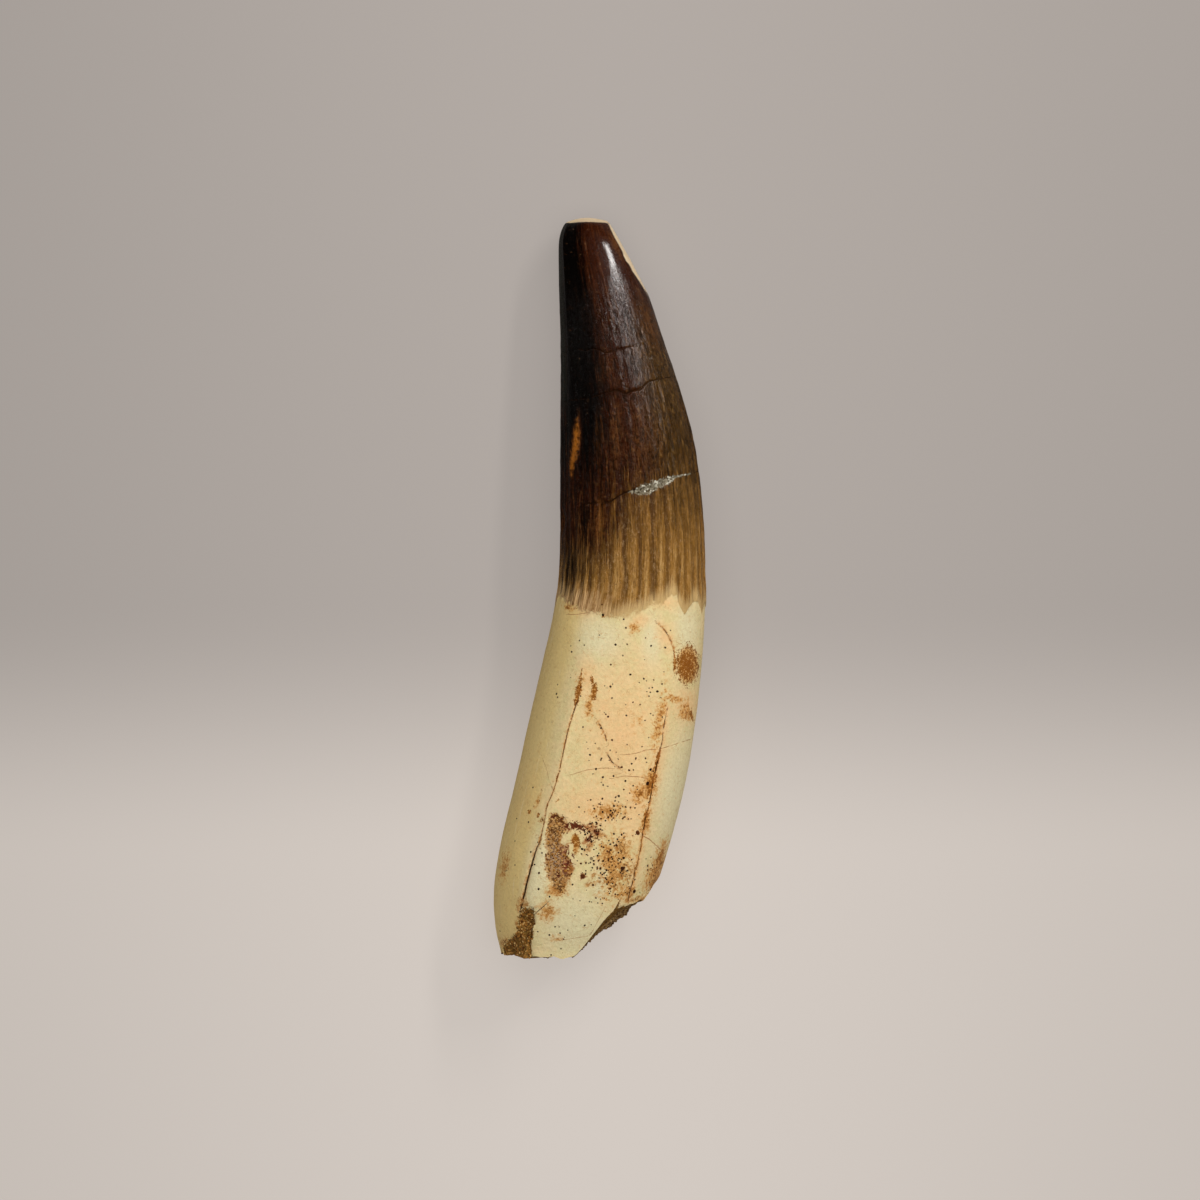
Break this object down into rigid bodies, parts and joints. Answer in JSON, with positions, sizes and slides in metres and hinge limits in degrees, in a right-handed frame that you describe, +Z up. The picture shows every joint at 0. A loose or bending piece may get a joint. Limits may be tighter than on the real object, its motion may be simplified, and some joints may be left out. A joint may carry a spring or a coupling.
{
  "type": "fossil dinosaur tooth",
  "caption": "Long curved conical fossil tooth with a fluted enamel crown, a flat-sided root and sandstone in the open root end, lying on its side.",
  "frame": {"origin": "under the middle of the tooth's bounding box, on the surface that it lies on", "axes": "+Y from the broken root end to the tip of the crown, +Z up, +X to the outer side of the curve"},
  "size_m": [0.0302, 0.1052, 0.0184],
  "materials": {
    "fossil_tooth": "cream satin dentine on the root, glossy dark brown enamel on the crown",
    "sandstone": "rough brown sandstone"
  },
  "bodies": {
    "root": {"tooth": "fossil_tooth", "sandstone_infill": "sandstone"}
  },
  "joints": []
}
